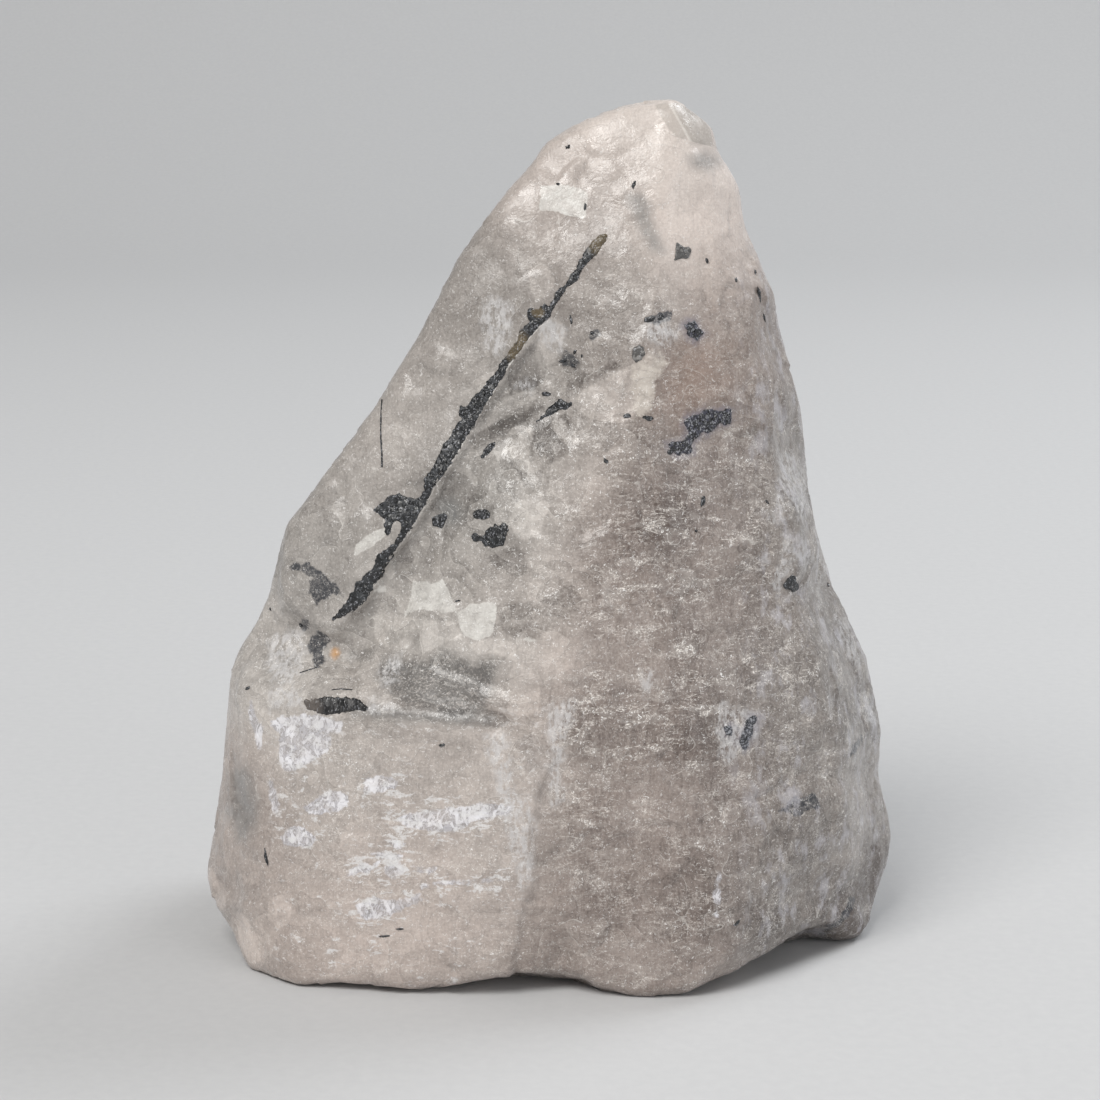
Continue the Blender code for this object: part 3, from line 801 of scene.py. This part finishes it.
def quartz_material():
    material, shader, point = new_material("milky_quartz")
    across, _, up = node("SeparateXYZ", {0: point}).outputs
    ragged = centred(cloud(point, 0.9, 4.0, 0.6))
    ragged_wide = centred(cloud(point, 4.0, 3.0, 0.6))

    def inside(name, raggedness, low, high, edge=ragged):
        """1 in the places noted under this name, 0 outside them, with a ragged edge."""
        return rise(plus(noted(name), edge, raggedness), low, high)

    def layer(red, green, blue, share):
        nonlocal colour
        colour = tint(colour, (red, green, blue), share)

    # the milky body: clouds inside it, broken planes that each catch the light their own way, a sugary grain
    mist = centred(cloud(point, 7.0, 2.0, 0.5, 0.4))
    wisps = centred(cloud(stretched(point, 1.3, 1.0, 0.8), 1.9, 4.0, 0.62, 0.9))
    sugar = centred(cloud(point, 0.22, 2.0, 0.6))
    large_chips = effect(chips_effect, Point=point, Size=3.2, Warp=0.8)
    small_chips = effect(chips_effect, Point=point, Size=1.1, Warp=0.6)
    shells = effect(sheets_effect, Point=point, Size=7.0, Steps=9.0, Width=0.05)
    faceted = noted("facets")
    ridge = plus(noted("right_of_ridge"), ragged_wide, 2.0)
    crisp_edge = rise(up, 30.0, 20.0)
    quiet_top = rise(up, 64.0, 71.0)
    light = noted("lightness")
    for part, share in (
        (mist, 0.14),
        (wisps, plus(plus(0.13, faceted, 0.20), quiet_top, -0.10)),
        (calc("SUBTRACT", 0.5, shells["Shade"]), plus(0.05, faceted, 0.10)),
        (plus(times(centred(large_chips["Shade"]), 0.16), centred(small_chips["Shade"]), 0.06),
         plus(0.10, faceted, 0.90)),
        (sugar, 0.34),
        (centred(cloud(stretched(point, 0.55, 1.0, 3.5), 0.38, 2.0, 0.6)), 0.20),
        # painted shade: a darker band right of the ridge line, beside the block's step
        (times(rise(ridge, -0.4, 0.4), rise(ridge, 9.0, 1.0), crisp_edge), -0.05),
        (times(inside("light_planes", 0.5, -0.08, 0.14), plus(0.75, wisps, 1.2)), 0.19),
        (times(inside("dark_planes", 0.7, -0.15, 0.30), plus(0.80, wisps, 1.2)), -0.19),
    ):
        light = plus(light, part, share)
    deep = tint((91, 90, 87), (97, 85, 79), noted("rosiness"))
    bright = tint((241, 240, 234), (249, 233, 223), noted("rosiness"))
    colour = tint(deep, bright, clamp(light))

    # the iron stain, the cream streak, and the cap's chip: its face in painted shade with a painted shadow
    # line beside it, its rim a painted highlight
    layer(160, 130, 112, times(inside("iron_stain", 3.0, -3.2, 3.2), 0.42))
    layer(230, 221, 209, clamp(times(inside("cream_streak", 2.6, -0.4, 0.4), plus(0.52, wisps, 1.6))))
    chip, band = noted("shaded_cap_chip"), noted("cap_shadow_line")
    layer(176, 168, 160, times(rise(chip, -0.04, 0.04), 0.80))
    layer(178, 170, 162, times(rise(band, -0.06, 0.10), 0.60))
    # the chip's rim, a painted highlight
    rim = times(rise(chip, -0.10, 0.0), rise(chip, 0.22, 0.06), rise(band, -0.30, -0.10))
    layer(236, 230, 222, times(rim, 0.45))

    # painted shade where shadows fall, then haze, crystals and smoke under the surface
    grain = rise(cloud(point, 0.26, 2.0, 0.7), 0.62, 0.50)
    layer(110, 112, 112, times(inside("shadows", 1.0, -0.9, 0.6, ragged_wide), plus(0.55, sugar, 0.8)))
    layer(124, 121, 136, times(inside("blue_haze", 1.4, -0.7, 0.1), plus(0.50, sugar, 1.2)))
    layer(52, 54, 60, times(inside("buried_crystals", 1.1, -0.12, 0.12), plus(0.60, grain, 0.33)))
    # smoky grey in the quartz, which on the ledge is also painted shade along the ledge's edge
    smoke = rise(plus(plus(noted("smoke_and_shade_places"), ragged_wide, 1.6), ragged, 1.0), -0.35, 0.9)
    layer(74, 73, 72, times(smoke, plus(0.45, grain, 0.50), 0.76))

    # pale plates, where a flat break sends the light back, and hazy white veils
    plate = times(inside("pale_facets", 0.6, -0.05, 0.10), plus(0.72, wisps, 1.6), plus(0.95, sugar, 0.8))
    layer(222, 219, 213, clamp(plate))
    veil = rise(cloud(stretched(point, 0.6, 1.0, 1.2), 0.7, 4.0, 0.7), 0.38, 0.58)
    layer(214, 212, 212, times(inside("white_veils", 2.0, -0.4, 0.5), veil, 0.62))

    # healed cracks: hazy clusters, wavy lying lines, fine curls
    cover = times(noted("cracks"), plus(0.50, rise(cloud(point, 4.4, 3.0, 0.6), 0.42, 0.58), 0.70))
    clusters = rise(cloud(stretched(point, 2.2, 1.0, 0.8), 2.0, 4.0, 0.65, 0.5), 0.51, 0.59)
    layer(196, 189, 183, times(clusters, cover, 0.22))
    lying = stretched(point, 3.4, 1.5, 0.9)
    waves = effect(sheets_effect, Point=lying, Size=2.6, Steps=7.0, Width=0.10)["Edge"]
    waves = times(waves, rise(cloud(stretched(point, 1.2, 1.0, 0.5), 0.8, 2.0, 0.6), 0.50, 0.58))
    curls = effect(threads_effect, Point=point, Size=3.6, Width=0.019, Cover=0.85)["Mask"]
    curls = times(curls, plus(0.25, clusters, 0.75))
    short = times(effect(threads_effect, Point=lying, Size=2.8, Width=0.014, Cover=0.65)["Mask"], 0.85)
    lines = calc("MAXIMUM", waves, calc("MAXIMUM", curls, short))
    dots = rise(cloud(point, 0.17, 1.0, 0.5), 0.44, 0.60)
    layer(250, 243, 235, times(lines, cover, plus(0.30, dots, 0.75)))

    # edges of the planes and shells, a lilac haze at the right that is partly a painted rim of cool light,
    # and painted glints
    edge_shown = times(rise(mist, -0.02, 0.10), plus(0.15, faceted, 0.85), rise(wisps, 0.0, 0.12))
    layer(232, 228, 222, times(large_chips["Edge"], edge_shown, 0.30))
    layer(236, 232, 226, times(shells["Edge"], rise(wisps, 0.0, 0.10), 0.50))
    at_right = rise(plus(across, ragged_wide, 8.0), 15.0, 21.0)
    lilac = rise(cloud(stretched(point, 0.8, 1.0, 1.5), 2.2, 5.0, 0.70), 0.50, 0.66)
    layer(206, 203, 209, times(lilac, at_right, noted("front"), 0.50))
    painted_glints = rise(cloud(point, 0.26, 2.0, 0.5, 1.5), 0.625, 0.67)
    layer(252, 250, 247, times(painted_glints, plus(plus(0.35, faceted, 0.25), clusters, times(cover, 0.5))))

    # foil and foam: silvery crinkled films in the surface of the block, their brightness partly painted
    # reflection and their folds painted shade, and small strokes of the same around
    crinkle = cloud(stretched(point, 0.7, 1.0, 1.1), 0.95, 5.0, 0.62, 0.8)
    shaded_fold = rise(calc("ABSOLUTE", calc("SUBTRACT", crinkle, 0.46)), 0.030, 0.008)
    film = tint((198, 196, 201), (243, 242, 246), rise(crinkle, 0.49, 0.58))
    film = tint(film, (150, 144, 142), times(shaded_fold, 0.90))
    colour = tint(colour, film, times(inside("foil_places", 1.1, -0.08, 0.14), plus(0.72, wisps, 1.4)))
    block = times(rise(ridge, 0.5, -2.0), rise(across, -27.5, -24.5), crisp_edge)
    gathered = rise(cloud(stretched(point, 1.3, 1.0, 0.8), 3.4, 2.0, 0.5), 0.42, 0.62)
    strokes = plus(cloud(stretched(point, 1.7, 1.0, 0.7), 0.85, 5.0, 0.72, 0.4), gathered, 0.06)
    strokes = rise(plus(strokes, rise(noted("foil_places"), -1.8, 0.2), 0.07), 0.61, 0.68)
    layer(230, 228, 227, times(strokes, block, plus(0.72, sugar, 1.2)))

    # a painted highlight along the step's edge beside the needle, and the iron spot
    upper = times(rise(up, 47.0, 50.0), rise(up, 62.0, 60.5))
    needle_step_highlight = times(rise(noted("needle_edge"), -0.16, -0.10), rise(noted("right_of_needle"), 0.0, 0.2))
    layer(240, 236, 230, times(needle_step_highlight, rise(wisps, -0.14, 0.02), plus(0.25, upper, 0.50)))
    layer(206, 156, 100, times(inside("iron_spot", 0.3, -0.3, 0.3), 0.75))

    height = times(large_chips["Height"], plus(0.05, faceted, 0.10))
    height = plus(height, small_chips["Height"], plus(0.14, quiet_top, -0.09))
    height = plus(plus(height, shells["Shade"], -0.06), cloud(point, 0.40, 2.0, 0.65), 0.06)
    fill(shader, {
        "Base Color": colour, "Roughness": plus(0.22, small_chips["Shade"], 0.20), "Normal": bump(height),
        "IOR": 1.544, "Sheen Weight": 0.15, "Sheen Roughness": 0.35,
    })
    return material


stone.data.materials.append(quartz_material())
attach(stone, "root")
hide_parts("quartz_stone")

# ---- The tourmaline crystals at the front
# Black schorl, brittle, grown as rods and knots of small grains and held in the quartz. The stone broke
# straight through them, so they lie level with its surface, with angular outlines and flat tops dotted
# with painted glints.
# Thin ends look brown, and those at the right bluish.

# In millimetres, how far the crystals stand proud of the stone and reach into it, how much the meshing's
# rounding is made up for, how ragged their sides are, and the size and slope of the grains in their tops.
PROUD, SUNK = 0.14, 1.1
GROWN, NEEDLE_GROWN, RAGGED = 0.03, 0.08, 0.18
GRAIN, GRAIN_SLOPE = 0.5, 0.3
CRYSTAL_STEP = 0.13 * MM
IN_FRONT = -60
OUTLINES = {
    "long_needle": [NEEDLE_OUTLINE],
    "ledge_prism": [[
        (304, 703), (307, 700), (315, 698), (352, 698), (360, 701), (369, 708), (364, 711), (357, 710),
        (333, 714), (322, 714), (309, 709),
    ]],
    "right_slab": [[
        (684, 422), (692, 414), (700, 413), (706, 410), (722, 411), (732, 409), (730, 423), (724, 425),
        (720, 423), (715, 429), (707, 433), (703, 431), (699, 437), (694, 438), (691, 444), (693, 451),
        (687, 455), (683, 453), (679, 456), (670, 450), (668, 444), (675, 442), (679, 443), (684, 440),
        (689, 432),
    ]],
    "upper_grain": [[
        (474, 515), (477, 510), (481, 511), (485, 509), (490, 513), (489, 518), (483, 520), (476, 519),
    ]],
    "lower_grain": [[
        (471, 536), (474, 534), (484, 535), (488, 528), (496, 524), (500, 526), (504, 523), (507, 526),
        (508, 531), (503, 545), (493, 548), (488, 546), (484, 547), (483, 541), (476, 541),
    ]],
    "hollow_sliver": [[
        (533, 424), (545, 414), (552, 405), (560, 400), (572, 403), (571, 406), (566, 409), (557, 411),
    ]],
    "star_grain": [[
        (684, 325), (687, 325), (689, 321), (692, 323), (694, 320), (697, 326), (705, 333), (699, 337),
        (697, 342), (695, 338), (692, 338), (687, 334), (687, 330),
    ]],
    "small_block": [[(633, 350), (639, 345), (644, 349), (643, 359), (636, 363), (633, 358)]],
    "square_grain": [[(677, 243), (691, 250), (688, 258), (681, 258), (674, 261)]],
    "side_grain": [[
        (783, 585), (786, 582), (787, 578), (790, 577), (793, 574), (797, 580), (799, 586), (797, 590),
        (796, 593), (793, 592), (789, 589), (785, 590),
    ]],
    "low_right_cluster": [
        [(725, 728), (729, 725), (733, 728), (732, 735), (727, 735)],
        [(741, 733), (745, 729), (746, 722), (749, 717), (755, 716), (756, 720), (752, 733), (748, 744),
         (744, 749), (739, 743)],
    ],
}
stone_faces = surface_of(stone)


def egg(point, centre, half):
    """1 in the middle of an egg-shaped place, 0 outside it."""
    offset = stretched(vector("SUBTRACT", point, centre), *half)
    return rise(vector("LENGTH", offset, output=1), 1.0, 0.5)


def tourmaline_material(name, body, glint, dotted, grain=(1, 1, 1), brown=None, brown_places=()):
    """Schorl's small grains, the lighter ones and the bright dots painted glints, and brown in the places
    given.
    """
    material, shader, point = new_material(name)
    along = stretched(point, *grain)
    grains = effect(chips_effect, Point=along, Size=0.26, Warp=0.8)
    colour = tint(body, glint, rise(grains["Shade"], 0.45, 0.95))
    for centre, half in brown_places:
        colour = tint(colour, brown, times(egg(point, centre, half), 0.85))
    glint_speckle = rise(cloud(along, 0.18, 3.0, 0.6), dotted, dotted + 0.08)
    colour = tint(colour, (176, 177, 183), times(glint_speckle, 0.65))
    fill(shader, {
        "Base Color": colour, "Roughness": plus(0.25, grains["Shade"], 0.3),
        "Normal": bump(times(grains["Height"], 0.5)), "IOR": 1.64,
    })
    return material


black_tourmaline = tourmaline_material(
    "black_tourmaline", (14, 15, 17), (52, 54, 57), 0.57, brown=(104, 90, 66),
    brown_places=[((4.2, -10, 67.8), (1.9, 6, 1.9)), ((-3.6, -12, 58.3), (1.6, 6, 1.9)),
                  ((-1.7, -12, 61.4), (0.8, 6, 0.6))],
)
striped_tourmaline = tourmaline_material(
    "striped_tourmaline", (18, 17, 18), (54, 52, 52), 0.60, grain=(0.7, 1, 4), brown=(104, 96, 90),
    brown_places=[((-23.1, -18, 25.8), (2.2, 8, 1.7))],
)
blue_tourmaline = tourmaline_material("blue_tourmaline", (15, 15, 19), (58, 58, 72), 0.53)
grey_tourmaline = tourmaline_material("grey_tourmaline", (84, 82, 80), (130, 127, 124), 0.58)
mottled_tourmaline = tourmaline_material("mottled_tourmaline", (32, 33, 39), (84, 85, 94), 0.50)
TOURMALINES = {
    "ledge_prism": striped_tourmaline, "low_right_cluster": mottled_tourmaline,
    "star_grain": blue_tourmaline, "right_slab": blue_tourmaline,
    "small_block": grey_tourmaline, "square_grain": grey_tourmaline,
}
# The crystals with a bluish haze in the quartz around them.
HAZY = ("star_grain", "right_slab", "low_right_cluster")


def front_at(across, up):
    """Where the stone's front surface is, in millimetres, at this place seen straight from the front."""
    place = stone_faces.ray_cast(Vector((across, IN_FRONT, up)) * MM, Vector((0, 1, 0)))[0]
    return place.y / MM


def on_front(column, row):
    """The place on the stone that the picture shows at a pixel, and the way its surface faces there."""
    return stone_faces.ray_cast(Vector(EYE) * MM, sight(column, row))[:2]


def outline_prism(outline):
    """A prism that follows the outline, from a little outside the stone's surface to well under it."""
    bpy.ops.mesh.primitive_circle_add(vertices=len(outline), fill_type="NGON")
    obj = bpy.context.object
    for corner, pixel in zip(obj.data.vertices, outline):
        corner.co = on_front(*pixel)[0] - Vector((0, PROUD * MM, 0))
    alone(obj)
    bpy.ops.object.mode_set(mode="EDIT")
    bpy.ops.mesh.select_all(action="SELECT")
    bpy.ops.mesh.extrude_region_move(TRANSFORM_OT_translate={"value": (0, (PROUD + SUNK) * MM, 0)})
    bpy.ops.mesh.select_all(action="SELECT")
    bpy.ops.mesh.normals_make_consistent(inside=False)
    bpy.ops.object.mode_set(mode="OBJECT")
    return obj


def finish_crystal(obj, name, node_name, material):
    obj.name = obj.data.name = name
    obj.data.materials.append(material)
    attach(obj, "root")
    if node_name:
        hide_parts(node_name)


def level_crystal(node_name, outlines, material):
    """A crystal that broke level with the stone, its top laid along the stone's surface."""
    obj = joined([outline_prism(outline) for outline in outlines])
    remesh(obj, CRYSTAL_STEP, 1)
    points = points_of(obj) / MM
    normals = normals_of(obj)
    ragged = np.array([noise.noise(Vector(p) / 0.8) + 0.8 * noise.noise(Vector(p) / 0.3) for p in points])
    grown = NEEDLE_GROWN if node_name == "long_needle" else GROWN
    points += normals * (grown + RAGGED * ragged)[:, None]
    grains = np.array([flat_break(Vector(p), GRAIN, GRAIN_SLOPE) for p in points])
    shoulder = smooth(depth_inside(in_picture(points), outlines), -0.28, 0.20)
    surface = np.array([front_at(p[0], p[2]) for p in points])
    top = surface - PROUD * shoulder - grains * shoulder + 0.05 * (1 - shoulder)
    share = smooth(-normals[:, 1], 0.25, 0.75)
    points[:, 1] += (top - points[:, 1]) * share
    put_points(obj, points * MM)
    finish_crystal(obj, node_name + "_crystal", node_name, material)


haze = depth_inside(in_picture(points_of(stone) / MM), [line for name in HAZY for line in OUTLINES[name]])
note(stone, "blue_haze", np.where(normals_of(stone)[:, 1] > BACK_FACES, OUTSIDE, haze))
for node_name, outlines in OUTLINES.items():
    level_crystal(node_name, outlines, TOURMALINES.get(node_name, black_tourmaline))

# ---- The tourmaline crystals at the side and the back
# The same black schorl, not broken level here: a short prism and two knotted growths that stand out a
# little from the quartz that holds them.

STANDS_OUT, MOVED_OUT = 0.45, 0.25
STANDING_STEP = 0.16 * MM
GROWTH_STEP, GROWTH_SLOPE = 0.7, 0.35


def standing_crystal(node_name):
    """The node's own shape, finely meshed and roughened, held close to the stone's surface."""
    obj = copy_of(node_name, node_name)
    remesh(obj, STANDING_STEP, 2)
    points = points_of(obj) / MM
    normals = normals_of(obj)
    points += normals * np.array([
        0.05 + flat_break(Vector(p), GROWTH_STEP, GROWTH_SLOPE) + 0.08 * noise.noise(Vector(p) / 0.6)
        for p in points
    ])[:, None]
    for index, place in enumerate(points):
        nearest, facing = stone_faces.find_nearest(Vector(place) * MM)[:2]
        out = (Vector(place) - nearest / MM).dot(facing) + MOVED_OUT
        points[index] += np.array(facing) * MOVED_OUT
        if out > 0:
            points[index] -= np.array(facing) * (out - STANDS_OUT * math.tanh(out / STANDS_OUT))
    put_points(obj, points * MM)
    finish_crystal(obj, node_name + "_crystal", node_name, black_tourmaline)


for node_name in crystal_nodes:
    if node_name not in OUTLINES:
        standing_crystal(node_name)

# ---- Specks and hair-thin needles
# Tourmaline grains under a millimetre, scattered over the front, a grown hair-thin needle at the left of
# the slab, and two short curved hairs by the ledge. All are held in the quartz like the larger ones.

SPECK_HALF_DEPTH, CORNERS_PULLED = 0.13, 0.60
HAIR_SUNK, HAIR_OVERLAP = 0.02, 1.04
SPECKS = [
    # pixel, half length and half width in millimetres, turn in degrees
    ((568, 147), 0.25, 0.18, 20), ((558, 184), 0.20, 0.12, 0), ((585, 207), 0.34, 0.14, 90),
    ((634, 184), 0.50, 0.16, 70), ((571, 320), 0.45, 0.13, 100), ((592, 333), 0.22, 0.16, 140),
    ((546, 394), 0.45, 0.20, 0), ((627, 416), 0.34, 0.20, 10), ((648, 418), 0.48, 0.22, -10),
    ((606, 461), 0.26, 0.18, 140), ((703, 501), 0.50, 0.22, 70), ((696, 531), 0.16, 0.12, 0),
    ((707, 261), 0.26, 0.16, 110), ((736, 280), 0.24, 0.14, 60), ((271, 609), 0.22, 0.16, 0),
    ((442, 745), 0.28, 0.14, 10), ((266, 857), 0.70, 0.20, 108), ((828, 585), 0.26, 0.18, 20),
    ((737, 923), 0.40, 0.15, 30), ((759, 295), 0.80, 0.20, 100), ((755, 272), 0.24, 0.14, 60),
    ((764, 318), 0.40, 0.13, 105), ((248, 688), 0.34, 0.16, 30), ((440, 521), 0.80, 0.60, 20),
    ((489, 448), 0.75, 0.30, 50), ((483, 456), 0.30, 0.16, 40), ((650, 319), 0.55, 0.28, 15),
    ((661, 317), 0.38, 0.26, 40), ((670, 452), 0.30, 0.22, 0), ((563, 361), 0.38, 0.14, 10),
    ((575, 352), 0.24, 0.14, 60), ((574, 366), 0.40, 0.16, -20), ((582, 356), 0.16, 0.10, 90),
    ((767, 502), 0.20, 0.12, 120), ((458, 601), 0.28, 0.10, 20), ((400, 929), 0.40, 0.09, 5),
    ((301, 625), 0.26, 0.20, 80), ((385, 936), 0.55, 0.08, 8),
]
HAIRS = [
    ([(382, 400), (381, 420), (381, 440), (382, 455), (382, 467)], 0.10),
    ([(332, 690), (342, 689), (352, 690)], 0.07),
    ([(300, 673), (309, 670), (320, 667)], 0.07),
]


def speck(pixel, half_length, half_width, turn):
    """A small grain: a ball pressed flat against the stone's surface, its corners pulled about."""
    bpy.ops.mesh.primitive_ico_sphere_add(subdivisions=2, radius=1)
    obj = bpy.context.object
    place, facing = on_front(*pixel)
    lying = facing.to_track_quat("Z", "Y").to_matrix()
    turned = lying @ Matrix.Rotation(math.radians(turn), 3, "Z")
    for corner in obj.data.vertices:
        pulled = corner.co * (1 + CORNERS_PULLED * noise.noise(corner.co * 2.2 + place / MM))
        sized = Vector((pulled.x * half_length, pulled.y * half_width, pulled.z * SPECK_HALF_DEPTH))
        corner.co = place + turned @ sized * MM
    return obj


def hair(line, radius):
    """A hair-thin rod laid along the stone's surface, one short straight piece after the other."""
    pieces = []
    places = [on_front(*pixel)[0] + Vector((0, HAIR_SUNK * MM, 0)) for pixel in line]
    for start, end in zip(places, places[1:]):
        run = end - start
        bpy.ops.mesh.primitive_cylinder_add(vertices=6, radius=radius * MM, depth=run.length * HAIR_OVERLAP)
        obj = bpy.context.object
        turned = run.to_track_quat("Z", "Y").to_matrix()
        for corner in obj.data.vertices:
            corner.co = (start + end) / 2 + turned @ corner.co
        pieces.append(obj)
    return pieces


small_ones = [speck(*values) for values in SPECKS]
for line, radius in HAIRS:
    small_ones.extend(hair(line, radius))
specks = joined(small_ones)
specks.location = (0, 0, 0)
bpy.ops.object.shade_smooth_by_angle(angle=math.radians(50))
finish_crystal(specks, "specks_and_hairs", None, black_tourmaline)

# ---- The floor, the light and the camera
# A pale plain sheet that turns up softly behind the stone, a large soft light from above, in front and a
# little left, weaker ones from the right and behind, and the camera a little above the stone's middle.

SHEET_HALF = 1.5
TURN_STARTS, TURN_RADIUS = 0.55, 0.45


def sheet_material():
    material, shader, point = new_material("pale_sheet")
    colour = tint((196, 196, 197), (206, 206, 206), cloud(point, 1.2, 4.0, 0.6))
    fill(shader, {"Base Color": colour, "Roughness": 0.8})
    return material


bpy.ops.mesh.primitive_grid_add(x_subdivisions=2, y_subdivisions=120, size=2 * SHEET_HALF)
sheet = bpy.context.object
sheet.name = "sheet"
for corner in sheet.data.vertices:
    beyond = corner.co.y - TURN_STARTS
    if beyond > 0:
        angle = min(beyond / TURN_RADIUS, math.pi / 2)
        straight = beyond - angle * TURN_RADIUS
        corner.co.y = TURN_STARTS + TURN_RADIUS * math.sin(angle)
        corner.co.z = TURN_RADIUS * (1 - math.cos(angle)) + straight
alone(sheet)
bpy.ops.object.shade_smooth()
sheet.data.materials.append(sheet_material())


def soft_light(name, place, aim, size, power, colour):
    light = bpy.data.lights.new(name, "AREA")
    light.shape = "DISK"
    light.size = size
    light.energy = power
    light.color = colour
    obj = new_object(name, light)
    obj.location = place
    obj.rotation_euler = (Vector(aim) - Vector(place)).to_track_quat("-Z", "Y").to_euler()


soft_light("key", (-0.42, -0.72, 1.05), (0, 0, 0.04), 0.70, 12.0, (1.0, 0.985, 0.96))
soft_light("fill", (0.80, -0.80, 0.40), (0, 0, 0.04), 0.80, 2.0, (0.96, 0.98, 1.0))
soft_light("rim", (0.50, 0.36, 0.60), (0, 0, 0.05), 0.40, 3.0, (0.94, 0.97, 1.0))

world = bpy.data.worlds.new("studio")
world.use_nodes = True
world.node_tree.nodes["Background"].inputs["Color"].default_value = (0.62, 0.63, 0.64, 1)
world.node_tree.nodes["Background"].inputs["Strength"].default_value = 0.55
bpy.context.scene.world = world
bpy.context.scene.view_settings.view_transform = "Standard"

camera = new_object("camera", bpy.data.cameras.new("camera"))
camera.data.lens = LENS
camera.data.sensor_width = SENSOR
camera.data.clip_start = 0.01
camera.location = Vector(EYE) * MM
camera.rotation_euler = (math.pi / 2 - DOWN, 0, 0)
bpy.context.scene.camera = camera
